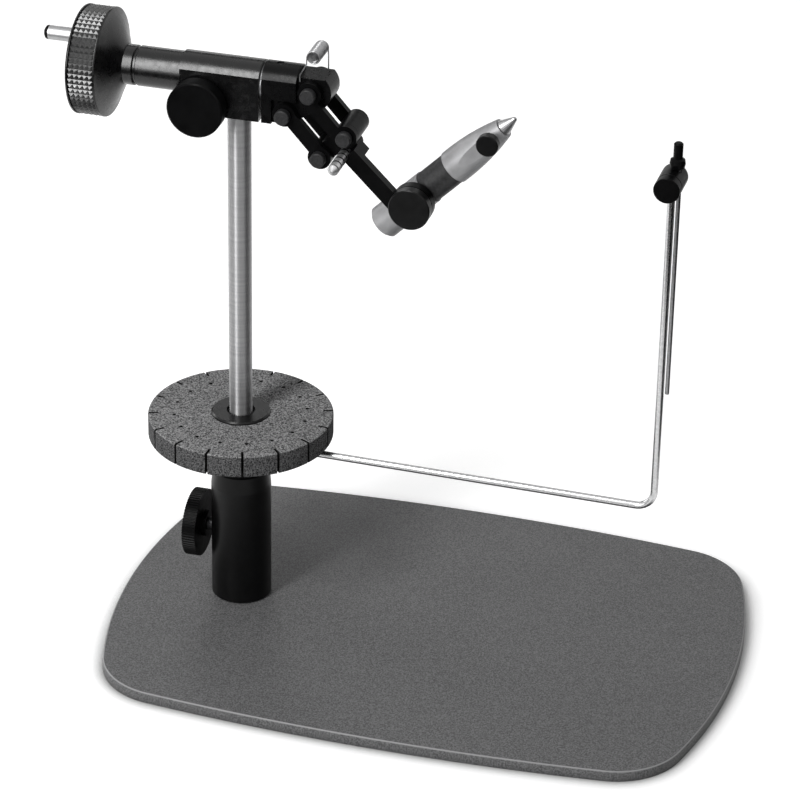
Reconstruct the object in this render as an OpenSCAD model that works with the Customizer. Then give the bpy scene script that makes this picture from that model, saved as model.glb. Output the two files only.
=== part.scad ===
// Rotary fly tying vise on a pedestal base, with a tool disc, a bobbin cradle,
// a parallel linkage that carries the jaw, and a push button jaw.
// X runs along the long side of the base, +Z is up, the origin is under the column.

/* [Base plate] */
// Length of the plate along X
plate_l = 275; // [262:1:288]
// Width of the plate along Y
plate_w = 196; // [188:1:204]
// Thickness of the plate
plate_t = 5; // [4.5:0.1:8]
// How far the long sides bulge out
plate_side_bulge = 5; // [3:0.5:7]
// How far the short ends bulge out
plate_end_bulge = 9; // [6:0.5:12]
// Corner radius in plan
plate_corner_r = 32; // [26:1:38]
// Chamfer round the top edge
plate_chamfer = 0.6; // [0.3:0.1:1]
// Distance of the column from the near end of the plate
column_inset = 51; // [45:0.5:57]

/* [Column and clamp] */
// Radius of the column
column_r = 13.2; // [12.4:0.1:14.2]
// Height of the column above the plate
column_h = 63.5; // [60:0.5:64]
// Length of the taper at the top of the column
column_taper_h = 8; // [5:0.5:10]
// Radius lost in that taper
column_taper_r = 0.8; // [0.4:0.1:1.2]
// Rounding at the foot of the column
column_foot_chamfer = 0.8; // [0.4:0.1:1.2]
// Height of the clamp screw above the plate
clamp_h = 31.5; // [30:0.5:33]
// Radius of the clamp knob
clamp_knob_r = 15; // [13:0.5:17]
// Thickness of the clamp knob
clamp_knob_t = 6; // [5:0.5:8]
// Gap between the column and the knob
clamp_standoff = 3.8; // [3:0.1:5]
// Radius of the clamp screw
clamp_screw_r = 3; // [2.5:0.1:3.4]
// Number of serrations round the knob
clamp_flutes = 72; // [60:1:84]
// Depth of a serration
flute_depth = 0.35; // [0.2:0.05:0.5]
// Radius of the screws that hold the column from below
base_screw_r = 2.5; // [2.2:0.1:2.8]
// Radius of their countersunk heads
base_screw_head_r = 4.6; // [4.4:0.1:4.8]
// Radius of the circle that the three screws stand on
base_screw_ring = 8.5; // [8.3:0.1:8.8]
// How far they reach into the column
base_screw_reach = 8; // [6.5:0.1:8.5]

/* [Post] */
// Radius of the post
post_r = 5; // [4.8:0.05:5.3]
// Height of its lower end above the plate
post_foot_h = 17; // [15:0.5:19]
// How far the post reaches into the head
post_insert = 7; // [6:0.1:7.4]

/* [Tool disc] */
// Radius of the foam disc
foam_r = 40.3; // [37:0.1:44]
// Thickness of the foam disc
foam_t = 10.2; // [9:0.1:11]
// Height of the top of the foam above the plate
foam_top_h = 90.2; // [89:0.1:93]
// Number of slits in its rim
foam_slits = 16; // [12:1:20]
// Depth of a slit
slit_depth = 4.5; // [3:0.1:6]
// Width of a slit
slit_w = 1.1; // [0.6:0.1:1.4]
// Radius of the hub flange
hub_flange_r = 12.8; // [12:0.1:14]
// Thickness of the hub flange
hub_flange_t = 1.2; // [0.8:0.1:1.6]
// Radius of the hub sleeve in the foam
hub_sleeve_r = 7.4; // [7:0.1:8]
// Radius of the counterbore at the top of the hub
hub_mouth_r = 6.2; // [6:0.1:6.6]

/* [Bobbin cradle] */
// Radius of the rod
rod_r = 1.6; // [1.4:0.05:1.9]
// Distance of the upright rod from the post
rod_reach = 184.5; // [178:0.5:190]
// Height of the level rod above the plate
rod_h = 75.5; // [75:0.1:76]
// Centre radius of the bend
rod_bend_r = 8; // [6:0.5:12]
// Height of the rest clamp above the plate
rest_h = 228.5; // [226:0.5:229]
// Angle of the cradle round the post
cradle_angle = -1; // [-6:1:4]
// Radius of the collar round the post
collar_r = 12; // [11:0.1:13]
// Height of the collar
collar_t = 8.5; // [8:0.1:9]
// Radius of the rest clamp and its knob
rest_r = 5.5; // [5.2:0.1:6]
// Radius of the ball under the rest pin
rest_ball_r = 3.3; // [3.1:0.1:3.6]
// Radius of the rest pin
rest_pin_r = 1.95; // [1.7:0.05:2.2]
// Height of the rest pin above the plate
rest_pin_top_h = 245.5; // [244.5:0.5:252]
// Radius of the extension wire
wire_r = 0.9; // [0.7:0.05:1]
// Height of the lower end of the wire above the plate
wire_foot_h = 131; // [120:1:150]

/* [Head] */
// Height of the rotary axis above the plate
head_h = 247.5; // [240:0.5:256]
// Radius of the rounded top of the head
head_r = 9.3; // [9:0.05:9.8]
// Half the width across the flat sides
head_half_w = 8.2; // [7.8:0.05:8.6]
// Depth of the flat bottom under the axis
head_drop = 15; // [14.6:0.1:16]
// Left end of the housing
housing_x0 = -23.4; // [-25:0.1:-22]
// Right end of the housing
housing_x1 = 10.8; // [10.2:0.1:11.4]
// Left end of the round barrel
barrel_x0 = -43.2; // [-46:0.1:-40]
// Length of the rotor block
block_l = 14.9; // [14.6:0.1:15.2]
// Length of the shaft inside the rotor block
shaft_in_block = 12; // [11:0.1:13]
// Radius of the barrel
barrel_r = 8.5; // [8.2:0.05:8.9]
// Radius of the rotary shaft
shaft_r = 5; // [4.6:0.05:5.2]
// Radius of the bushes
bush_r = 6.6; // [6.4:0.05:6.8]
// Length of a bush
bush_l = 9; // [7:0.1:11]
// Thickness of the steel washers at both ends
washer_t = 1.2; // [0.9:0.05:1.5]
// Radius of the washers
washer_r = 7.6; // [7:0.1:8]
// Width of the slot that the drag screw closes
drag_slot_w = 1.2; // [0.8:0.1:1.6]

/* [Crank wheel] */
// Radius of the wheel
wheel_r = 23.1; // [22:0.1:25]
// Width of the knurled band
wheel_band_w = 12.8; // [11:0.1:14]
// Length of the cone behind the band
wheel_cone_l = 6.6; // [5.5:0.1:8]
// Length of the collar between cone and barrel
wheel_collar_l = 4.5; // [4:0.1:5]
// Radius of the dish in the outer face
wheel_dish_r = 9; // [8:0.1:9.5]
// Depth of the dish
wheel_dish_depth = 3; // [2:0.1:4]
// Distance of the crank pin from the axis
crank_offset = 14; // [12:0.1:15]
// Angle of the crank pin from upright, towards the viewer
crank_angle = 26; // [0:1:60]
// Length of the crank pin outside the wheel
crank_l = 14.2; // [12:0.1:18]
// Radius of the crank sleeve
crank_r = 3; // [2.7:0.1:3.3]

/* [Drag knob] */
// Radius of the drag knob
drag_r = 12.1; // [11:0.1:12.6]
// Thickness of the drag knob
drag_t = 7.3; // [6:0.1:8]
// Place of the drag knob along X
drag_x = -14.4; // [-15:0.1:-14]
// Depth of the drag knob under the axis
drag_drop = 9.9; // [9.8:0.1:10.2]

/* [Linkage] */
// Length of a link between its pins
link_l = 23; // [22.5:0.1:25]
// Angle of the links below level
link_fall = 47.8; // [46:0.5:50]
// Place of the upper link's first pin along X
link_pin_x = 33; // [33:0.1:34]
// Its height over the rotary axis
link_pin_rise = 0.7; // [0.2:0.1:1]
// Distance along X from the lower link's pin to the upper one's
link_step_x = 10.95; // [10.8:0.05:11.2]
// Height from the lower link's pin to the upper one's
link_step_z = 10.65; // [10.5:0.05:10.9]
// Thickness of a link plate
link_t = 3; // [2.6:0.1:3.2]
// Half the width between the plates
tongue_half_w = 6.3; // [6.1:0.1:6.5]
// Radius of the link ends
link_boss_r = 5; // [4.8:0.1:5.2]
// Radius of the pins
pin_r = 2; // [1.7:0.1:2.2]
// Radius of the pin heads
pin_head_r = 3.25; // [3:0.05:3.5]
// Length of the pin heads
pin_head_t = 3.5; // [2.5:0.1:4]
// Radius of the rounded end of the tongue
tongue_r = 8.5; // [8.2:0.1:8.8]
// Height of the flat top of the tongue over the axis
tongue_top = 6.5; // [6.2:0.1:7]
// Lower edge of the upper link, from its pins' line
upper_link_low = -5.2; // [-5.4:0.1:-4]
// Upper edge of the upper link, from its pins' line
upper_link_high = 0.5; // [0.5:0.1:1.5]
// Lower edge of the lower link, from its pins' line
lower_link_low = -1.9; // [-2.5:0.1:-1.5]
// Upper edge of the lower link, from its pins' line
lower_link_high = 4.3; // [3.5:0.1:4.6]
// Thickness of the spring clips on the pins
pin_clip_t = 0.8; // [0.6:0.1:1]

/* [Jaw arm] */
// Angle of the arm below level
arm_fall = 44.7; // [43:0.5:46]
// Place of the jaw pivot along X
pivot_x = 78; // [77:0.1:79]
// Depth of the jaw pivot under the rotary axis
pivot_drop = 41.9; // [41:0.1:43]
// Width of the arm
arm_w = 6.9; // [6.4:0.1:7.2]
// Thickness of the arm
arm_t = 4.3; // [3.8:0.1:4.6]
// Distance from the pivot to the arm's front face along Y
arm_front = 12; // [12:0.1:12.6]
// Offset of the arm's middle line from the pivot
arm_offset = 5.5; // [5.3:0.1:5.6]
// Length of the thick root of the arm
arm_root_l = 5; // [4.5:0.1:5.5]
// Thickness of that root between the links
arm_root_t = 5.3; // [4.8:0.1:6]
// Radius of the pivot eye
eye_r = 8.95; // [8.6:0.05:9.2]
// Radius of the pivot knob
pivot_knob_r = 8.9; // [8.4:0.1:9.4]
// Thickness of the pivot knob
pivot_knob_t = 4.5; // [4:0.1:5.5]
// Radius of the pivot stud
stud_r = 3; // [2.6:0.1:3.2]
// Depth of the lock screw under the upper link's far pin
lock_step = 7.7; // [7.6:0.05:8]
// Radius of the lock screw
lock_r = 2.35; // [2.2:0.05:2.5]
// How far the lock screw reaches towards the viewer
lock_front = 28; // [25:0.5:30]

/* [Jaw] */
// Angle of the jaw above level
jaw_rise = 44.9; // [43:0.1:47]
// Distance of the pivot from the rear end
jaw_pivot_s = 22; // [21:0.1:23]
// Radius of the jaw body
jaw_r = 7.35; // [7.2:0.05:7.45]
// Place of the sleeve along the jaw
sleeve_s = 27.8; // [27.4:0.1:28.5]
// Place of the nose along the jaw
nose_s = 42.4; // [42:0.1:43]
// Place along the jaw where the flat on the nose begins
nose_flat_s = 48; // [47:0.1:49]
// Slope of that flat
nose_flat_tilt = 8.2; // [7:0.1:8.8]
// Place of the nose's front end
nose_end_s = 71.4; // [70.8:0.1:72]
// Place of the jaw tip
tip_s = 78.5; // [77.5:0.1:80]
// Radius of the nose's front end
nose_end_r = 4.3; // [4.2:0.05:4.5]
// Radius of the jaw cone at its base
tip_base_r = 3.5; // [3.2:0.05:3.7]
// Radius of the jaw tip
tip_r = 1; // [0.8:0.05:1.2]
// Radius of the jaw shanks inside the nose
shank_r = 2.2; // [2:0.05:2.3]
// Radius of the room that the shanks have
shank_room_r = 3.3; // [3.2:0.05:3.4]
// Radius of the push button
button_r = 5; // [4.6:0.1:5.2]
// Travel of the push button
button_travel = 3; // [2:0.1:3.2]
// Radius of the small front knob
front_knob_r = 4.7; // [4.2:0.1:5]
// Thickness of the small front knob
front_knob_t = 3.8; // [3:0.1:4.2]
// Place of the small front knob along the jaw
front_knob_s = 65.5; // [65:0.1:66]

/* [Material clip] */
// Outer radius of the coil
clip_r = 3; // [2.6:0.1:3.4]
// Radius of the wire
clip_wire_r = 0.35; // [0.3:0.05:0.4]
// Distance between two curls
clip_pitch = 1.2; // [1.15:0.05:1.4]
// Number of curls
clip_curls = 10; // [8:1:11]
// Place of the coil along X
clip_x = 33.8; // [33.5:0.1:34.2]
// Height of the coil over the rotary axis
clip_rise = 15.9; // [15:0.1:17]

/* [Fits] */
// Radial clearance of a running fit
run_gap = 0.05; // [0.03:0.01:0.08]
// Radial clearance of a fixed fit
fix_gap = 0.02; // [0.01:0.01:0.04]
// Gap between flat faces that turn on each other
face_gap = 0.1; // [0.05:0.01:0.15]
// Gap between a soft piece and its neighbour
soft_gap = 0.35; // [0.3:0.01:0.5]
// Gap at the bottom of a blind hole
end_gap = 0.5; // [0.3:0.1:0.8]

/* [Hidden] */
$fn = 64;

// Overrun of every cut
eps = 0.5;
// Radius of the small screws
screw_r = 1.5;
// Chamfer on knobs and shafts
edge = 0.6;
// Heights over the floor
head_z = plate_t + head_h;
plate_shift = plate_l / 2 - column_inset;
column_top_z = plate_t + column_h;
post_foot_z = plate_t + post_foot_h;
post_top_z = head_z - head_drop + post_insert;
clamp_z = plate_t + clamp_h;
foam_top_z = plate_t + foam_top_h;
foam_z = foam_top_z - foam_t;
collar_top_z = foam_z - soft_gap - face_gap;
rod_z = plate_t + rod_h;
rest_z = plate_t + rest_h;
// How far the post can sink into the column from its place
post_sink = 7;
// Heads of the screws under the plate and their sockets
base_screw_sink = 0.3;
base_screw_top = plate_t + base_screw_reach - end_gap;
socket_share = 0.5;
socket_depth = 1.5;
// Flat spot on the column behind the clamp knob
spot_r = clamp_knob_r + end_gap;
spot_depth = 1;
pad_l = 2;
pad_r = 0.9 * clamp_screw_r;
knob_hub_r = 2 * clamp_screw_r;
// Places along the rotary axis
block_x0 = housing_x1 + washer_t;
block_x1 = block_x0 + block_l;
wheel_collar_x0 = barrel_x0 - washer_t - wheel_collar_l;
wheel_band_x1 = wheel_collar_x0 - wheel_cone_l;
wheel_x0 = wheel_band_x1 - wheel_band_w;
wheel_floor_x = wheel_x0 + wheel_dish_depth;
wheel_step = 0.8;
wheel_floor_t = 2;
shaft_x0 = wheel_floor_x + wheel_floor_t;
shaft_x1 = block_x0 + shaft_in_block;
wheel_screw_r = 2;
wheel_screw_l = 8;
wheel_head_r = 4;
wheel_head_t = 2.2;
crank_core_r = 0.53 * crank_r;
crank_tip_t = 1.8;
crank_root = 6;
relief_gap = 0.4;
// Slot, drag screw and set screws in the housing
thin_wall = 1.4;
drag_slot_x1 = -post_r - thin_wall;
drag_screw_r = 2.5;
drag_stand = 1;
set_h = 3;
// Pins of the linkage
pin_a = [link_pin_x, link_pin_rise];
pin_b = pin_a - [link_step_x, link_step_z];
link_way = [cos(link_fall), -sin(link_fall)];
pin_c = pin_a + link_l * link_way;
pin_d = pin_b + link_l * link_way;
link_y0 = tongue_half_w + face_gap;
link_y1 = link_y0 + link_t;
head_y0 = link_y1 + face_gap;
head_y1 = head_y0 + pin_head_t;
clip_y1 = head_y0 + pin_clip_t;
pin_chamfer = 0.4;
step_way = (pin_b - pin_a) / norm(pin_b - pin_a);
step_side = [-step_way[1], step_way[0]];
step_room = 0.75;
block_step_x = pin_b[0] - link_boss_r - step_room;
block_step_z = pin_b[1] + link_boss_r + step_room;
coupler_half_w = 0.78 * link_boss_r;
lock_shift = 0.25;
lock_pin = pin_c - [lock_shift, lock_step];
lock_boss_r = lock_r + thin_wall;
lock_inner_y = 5;
lock_grooves = 3;
lock_groove_y = -25.5;
lock_groove_pitch = 4;
lock_groove_w = 1;
lock_groove_depth = 0.4;
lock_tip_l = 2.5;
// Arm and its pivot
arm_back = arm_front - arm_t;
pivot = [pivot_x, -pivot_drop];
root_gap = 1;
arm_l = (pivot - pin_c) * [cos(arm_fall), -sin(arm_fall)] - link_boss_r - root_gap;
root_reach = 5;
stud_flange_r = 5.5;
stud_flange_t = 1.6;
knob_y0 = arm_front + face_gap;
knob_y1 = knob_y0 + pivot_knob_t;
stud_in_knob = 3.4;
// Jaw
button_l = 7;
button_stem_r = 1.8;
button_room_s = 16;
spring_l = 5.4;
spring_r = 4.5;
rod_bore_r = 2;
rod_gap = 0.3;
rod_in_nose = 6;
push_rod_end_s = nose_s + rod_in_nose;
jaw_hinge_s = push_rod_end_s + button_travel + end_gap;
shank_room_s = push_rod_end_s - end_gap;
jaw_base_gap = 0.25;
jaw_base_s = nose_end_s + jaw_base_gap;
jaw_split = 0.05;
sleeve_r0 = 6.5;
sleeve_step = 0.35;
sleeve_r = jaw_r - sleeve_step;
nose_step = 0.15;
nose_r = jaw_r + nose_step;
nose_straight = 3;
nose_steps = 12;
nose_flat_l = front_knob_s + screw_r - nose_flat_s;
front_knob_y0 = 7.2;
front_stem_y = 3.6;
tip_round = 1;
// Foam disc and cradle
slit_angle = 360 / foam_slits;
slit_turn_share = 0.83;
mouth_depth = hub_flange_t + edge;
rod_root_gap = 1.6;
rod_root = post_r + rod_root_gap;
rest_block_y0 = 6.6;
rest_block_y1 = 5;
rest_knob_t = 4.4;
wire_wall = 0.45;
ball_shift = 1.2;
wire_dx = rod_r + wire_r + wire_wall;
ball_dx = wire_dx - ball_shift;
ball_z0 = rest_z + rest_r + face_gap;
ball_h = 4.6;
rest_top_z = plate_t + rest_pin_top_h;
// Coil of the material clip
coil_r = clip_r - clip_wire_r;
coil_half_l = clip_pitch * (clip_curls + 1 / 2) / 2;
curl_rings = 8;
wire_sides = 6;
foot_x = 28.3;
foot_rise = 5;
rear_foot_x = 36.9;
rear_foot_y = 5.3;
leg_gap = 0.1;

// Round bars along the three axes
module x_rod(x0, x1, r) translate([x0, 0, 0]) rotate([0, 90, 0]) cylinder(h = x1 - x0, r = r);
module y_rod(y0, y1, r) translate([0, y0, 0]) rotate([-90, 0, 0]) cylinder(h = y1 - y0, r = r);
module z_rod(z0, z1, r) translate([0, 0, z0]) cylinder(h = z1 - z0, r = r);

// A profile of [radius, place] points turned about X, Y or Z
module x_turn(profile) rotate([0, 90, 0]) rotate_extrude() polygon(profile);
module y_turn(profile) rotate([-90, 0, 0]) rotate_extrude() polygon(profile);
module z_turn(profile) rotate_extrude() polygon(profile);

// A bar with both ends chamfered, as a profile
function bar(r, s0, s1, c) = [[0, s0], [r - c, s0], [r, s0 + c], [r, s1 - c], [r - c, s1], [0, s1]];

// Frames of the sub-assemblies
module at_head() translate([0, 0, head_z]) children();
module at_pin(p) at_head() translate([p[0], 0, p[1]]) children();
module at_link(p) at_pin(p) rotate([0, link_fall, 0]) children();
module at_arm() at_pin(pivot) rotate([0, arm_fall, 0]) children();
module at_jaw() at_pin(pivot) rotate([0, -jaw_rise, 0]) translate([-jaw_pivot_s, 0, 0]) children();
module at_cradle() rotate([0, 0, cradle_angle]) children();
module at_rest() at_cradle() translate([rod_reach, 0, 0]) children();

// A flat outline in X and Z, given depth along Y
module y_plate(y0, y1) translate([0, y1, 0]) rotate([90, 0, 0]) linear_extrude(y1 - y0) children();

// The plate's outline: four corner arcs joined by four flat arcs
function arc(c, r, a0, a1, n) = [for (i = [0 : n - 1]) c + r * [cos(a0 + (a1 - a0) * i / n),
  sin(a0 + (a1 - a0) * i / n)]];
plate_a = plate_l / 2 - plate_corner_r - plate_end_bulge;
plate_b = plate_w / 2 - plate_corner_r - plate_side_bulge;
side_r = (pow(plate_a, 2) + pow(plate_side_bulge, 2)) / (2 * plate_side_bulge);
end_r = (pow(plate_b, 2) + pow(plate_end_bulge, 2)) / (2 * plate_end_bulge);
side_c = plate_w / 2 - plate_corner_r - side_r;
end_c = plate_l / 2 - plate_corner_r - end_r;
side_a = asin(plate_a / side_r);
end_a = asin(plate_b / end_r);
corner_steps = 12;
side_steps = 10;
function plate_outline(inset) = concat(
  arc([end_c, 0], end_r + plate_corner_r - inset, -end_a, end_a, side_steps),
  arc([plate_a, plate_b], plate_corner_r - inset, end_a, 90 - side_a, corner_steps),
  arc([0, side_c], side_r + plate_corner_r - inset, 90 - side_a, 90 + side_a, side_steps),
  arc([-plate_a, plate_b], plate_corner_r - inset, 90 + side_a, 180 - end_a, corner_steps),
  arc([-end_c, 0], end_r + plate_corner_r - inset, 180 - end_a, 180 + end_a, side_steps),
  arc([-plate_a, -plate_b], plate_corner_r - inset, 180 + end_a, 270 - side_a, corner_steps),
  arc([0, -side_c], side_r + plate_corner_r - inset, 270 - side_a, 270 + side_a, side_steps),
  arc([plate_a, -plate_b], plate_corner_r - inset, 270 + side_a, 360 - end_a, corner_steps));

// A solid through a stack of closed rings of equal length
module rings_solid(rings) {
  n = len(rings[0]);
  m = len(rings);
  polyhedron(points = [for (r = rings) for (p = r) p],
    faces = concat([[for (i = [0 : n - 1]) i]],
      [for (k = [0 : m - 2]) for (i = [0 : n - 1])
        [k * n + i, k * n + n + i, k * n + n + (i + 1) % n, k * n + (i + 1) % n]],
      [[for (i = [n - 1 : -1 : 0]) (m - 1) * n + i]]), convexity = 4);
}

// A countersunk screw from below, grown by g for its hole
module base_screw(g, z0, z1) z_turn([[0, z0], [base_screw_head_r + g, z0],
  [base_screw_head_r + g, base_screw_sink + edge],
  [base_screw_r + g, base_screw_sink + edge + base_screw_head_r - base_screw_r],
  [base_screw_r + g, z1], [0, z1]]);
module on_screw_ring() for (a = [60, 180, 300]) rotate([0, 0, a]) translate([base_screw_ring, 0, 0])
  children();

module base_plate() color([0.3, 0.3, 0.3]) difference() {
  translate([plate_shift, 0, 0]) rings_solid([
    [for (p = plate_outline(0)) [p[0], p[1], 0]],
    [for (p = plate_outline(0)) [p[0], p[1], plate_t - plate_chamfer]],
    [for (p = plate_outline(plate_chamfer)) [p[0], p[1], plate_t]]]);
  on_screw_ring() base_screw(fix_gap, -eps, plate_t + eps);
}

module column_screws() color("dimgray") on_screw_ring() difference() {
  base_screw(0, base_screw_sink, base_screw_top);
  cylinder(h = base_screw_sink + socket_depth, r = socket_share * base_screw_head_r, $fn = 6);
}

module column() color([0.1, 0.1, 0.1]) difference() {
  z_turn([[0, plate_t], [column_r - column_foot_chamfer, plate_t],
    [column_r, plate_t + column_foot_chamfer], [column_r, column_top_z - column_taper_h],
    [column_r - column_taper_r, column_top_z - edge],
    [column_r - column_taper_r - edge, column_top_z], [0, column_top_z]]);
  z_rod(post_foot_z - post_sink - end_gap, column_top_z + eps, post_r + run_gap);
  on_screw_ring() z_rod(plate_t - eps, plate_t + base_screw_reach, base_screw_r + fix_gap);
  translate([0, 0, clamp_z]) x_rod(-column_r - eps, 0, clamp_screw_r + run_gap);
  translate([0, 0, clamp_z]) x_rod(-column_r - eps, spot_depth - column_r, spot_r);
}

// A round knob outline with fine grooves round its rim
function fluted(r, n, d) = [for (i = [0 : n - 1]) for (k = [0 : 3])
  (k == 1 || k == 2 ? r : r - d) * [cos((i + k / 4) * 360 / n), sin((i + k / 4) * 360 / n)]];

module clamp_knob() color([0.1, 0.1, 0.1]) translate([-column_r - clamp_standoff, 0, clamp_z])
  difference() {
    union() {
      rotate([0, -90, 0]) linear_extrude(clamp_knob_t)
        polygon(fluted(clamp_knob_r, clamp_flutes, flute_depth));
      x_rod(-edge, clamp_standoff / 2, knob_hub_r);
    }
    x_rod(edge - clamp_knob_t, clamp_standoff, clamp_screw_r + fix_gap);
  }

module clamp_screw() color("silver") translate([0, 0, clamp_z])
  x_turn(bar(clamp_screw_r, 2 * edge - column_r - clamp_standoff - clamp_knob_t,
    -post_r - run_gap - pad_l, edge / 2));

module clamp_pad() color("goldenrod") translate([0, 0, clamp_z])
  x_rod(-post_r - run_gap - pad_l, -post_r - run_gap, pad_r);

module post() color("silver") z_turn(bar(post_r, post_foot_z, post_top_z, edge));

// Cross-section of the head: a round top on flat sides
module head_section(x0, x1) translate([x0, 0, 0]) rotate([90, 0, 90]) linear_extrude(x1 - x0)
  union() {
    intersection() {
      circle(r = head_r);
      square([2 * head_half_w, 2 * head_r], center = true);
    }
    translate([-head_half_w, -head_drop]) square([2 * head_half_w, head_drop]);
  }

module housing() color([0.1, 0.1, 0.1]) at_head() difference() {
  union() {
    x_turn(bar(barrel_r, barrel_x0, housing_x0 + eps, edge / 2));
    head_section(housing_x0, housing_x1);
  }
  x_rod(barrel_x0 - eps, barrel_x0 + bush_l, bush_r + fix_gap);
  x_rod(housing_x1 - bush_l, housing_x1 + eps, bush_r + fix_gap);
  x_rod(barrel_x0, housing_x1, shaft_r + relief_gap);
  z_rod(-head_drop - eps, post_insert - head_drop + end_gap, post_r + fix_gap);
  translate([housing_x0 - eps, -drag_slot_w / 2, -head_drop - eps])
    cube([drag_slot_x1 - housing_x0 + eps, drag_slot_w, head_drop + eps - shaft_r]);
  translate([drag_x, 0, -drag_drop]) y_rod(-head_half_w - eps, head_half_w - 2 * edge,
    drag_screw_r + run_gap);
  translate([0, 0, set_h - head_drop]) y_rod(0, head_half_w + eps, screw_r + fix_gap);
}

module post_set_screw() color("dimgray") at_head() translate([0, 0, set_h - head_drop])
  y_rod(post_r + fix_gap, head_half_w - edge, screw_r);

module bush(x0) color("goldenrod") at_head() difference() {
  x_rod(x0, x0 + bush_l, bush_r);
  x_rod(x0 - eps, x0 + bush_l + eps, shaft_r + run_gap);
}

module rear_bush() bush(barrel_x0);
module front_bush() bush(housing_x1 - bush_l);

module shaft() color("silver") at_head() difference() {
  x_turn(bar(shaft_r, shaft_x0, shaft_x1, edge / 2));
  x_rod(shaft_x0 - eps, shaft_x0 + wheel_screw_l, wheel_screw_r + fix_gap);
}

module crank_wheel() color([0.1, 0.1, 0.1]) at_head() difference() {
  x_turn([[0, wheel_floor_x], [wheel_dish_r - edge, wheel_floor_x],
    [wheel_dish_r, wheel_x0], [wheel_r - edge, wheel_x0], [wheel_r, wheel_x0 + edge],
    [wheel_r, wheel_band_x1 - edge], [wheel_r - edge, wheel_band_x1],
    [wheel_r - wheel_step, wheel_band_x1], [barrel_r + wheel_step, wheel_collar_x0 - wheel_step],
    [barrel_r, wheel_collar_x0], [0, wheel_collar_x0]]);
  x_rod(shaft_x0, wheel_collar_x0 + eps, shaft_r + fix_gap);
  x_rod(wheel_x0, shaft_x0 + eps, wheel_screw_r + fix_gap);
  rotate([crank_angle, 0, 0]) translate([0, 0, crank_offset])
    x_rod(wheel_x0 - eps, wheel_x0 + crank_root + end_gap, crank_core_r + fix_gap);
}

module wheel_collar() color([0.1, 0.1, 0.1]) at_head() difference() {
  x_turn(bar(barrel_r, wheel_collar_x0, wheel_collar_x0 + wheel_collar_l, edge / 2));
  x_rod(wheel_collar_x0 - eps, wheel_collar_x0 + wheel_collar_l + eps, shaft_r + fix_gap);
}

module wheel_screw() color("dimgray") at_head() difference() {
  union() {
    x_turn(bar(wheel_head_r, wheel_floor_x - wheel_head_t, wheel_floor_x, edge));
    x_rod(wheel_floor_x, shaft_x0 + wheel_screw_l - end_gap, wheel_screw_r);
  }
  translate([wheel_floor_x - wheel_head_t - eps, 0, 0]) rotate([0, 90, 0])
    cylinder(h = eps + wheel_head_t / 2, r = wheel_head_r / 2, $fn = 6);
}

module at_crank() at_head() rotate([crank_angle, 0, 0]) translate([0, 0, crank_offset]) children();

module crank_pin() color([0.15, 0.15, 0.15]) at_crank() x_turn([[0, wheel_x0 - crank_l],
  [crank_r - 2 * edge, wheel_x0 - crank_l], [crank_r - edge / 2, wheel_x0 - crank_l + edge],
  [crank_r, wheel_x0 - crank_l + 2 * edge], [crank_r, wheel_x0 - crank_l + crank_tip_t],
  [crank_core_r, wheel_x0 - crank_l + crank_tip_t], [crank_core_r, wheel_x0 + crank_root],
  [0, wheel_x0 + crank_root]]);

module crank_sleeve() color("silver") at_crank() difference() {
  x_rod(wheel_x0 - crank_l + crank_tip_t + face_gap, wheel_x0 - face_gap, crank_r);
  x_rod(wheel_x0 - crank_l, wheel_x0, crank_core_r + run_gap);
}

module washer(x0, x1) color("silver") at_head() difference() {
  x_rod(x0, x1, washer_r);
  x_rod(x0 - eps, x1 + eps, shaft_r + fix_gap);
}

module rear_washer() washer(barrel_x0 - washer_t, barrel_x0 - face_gap);
module front_washer() washer(housing_x1 + face_gap, block_x0);

// Outline of the tongue that holds the first pins of both links
module tongue_outline() {
  tongue_low = pin_b + link_boss_r * step_side;
  tongue_side = pin_a + tongue_r * step_side;
  intersection() {
    union() {
      translate(pin_a) circle(r = tongue_r);
      translate(pin_b) circle(r = link_boss_r);
      polygon([[block_x0 + edge, tongue_top], [pin_a[0], tongue_top], pin_a, tongue_side,
        tongue_low, pin_b, [pin_b[0], -head_drop], [block_x0 + edge, -head_drop]]);
    }
    translate([block_x0, pin_b[1] - link_boss_r])
      square([link_l + block_l, tongue_top - pin_b[1] + link_boss_r]);
  }
}

module rotor_block() color([0.1, 0.1, 0.1]) difference() {
  union() {
    at_head() difference() {
      head_section(block_x0, block_x1);
      translate([block_step_x, -head_r, -head_drop - eps])
        cube([block_l, 2 * head_r, head_drop + eps + block_step_z]);
    }
    at_head() y_plate(-tongue_half_w, tongue_half_w) tongue_outline();
  }
  at_head() x_rod(block_x0 - eps, shaft_x1 + end_gap, shaft_r + fix_gap);
  at_head() translate([(block_x0 + shaft_x1) / 2, 0, 0]) z_rod(0, head_r + eps, screw_r + fix_gap);
  at_pin(pin_a) y_rod(-head_r, head_r, pin_r + fix_gap);
  at_pin(pin_b) y_rod(-head_r, head_r, pin_r + fix_gap);
}

module block_set_screw() color("dimgray") at_head() translate([(block_x0 + shaft_x1) / 2, 0, 0])
  z_rod(shaft_r + fix_gap, head_r - edge, screw_r);

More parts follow.
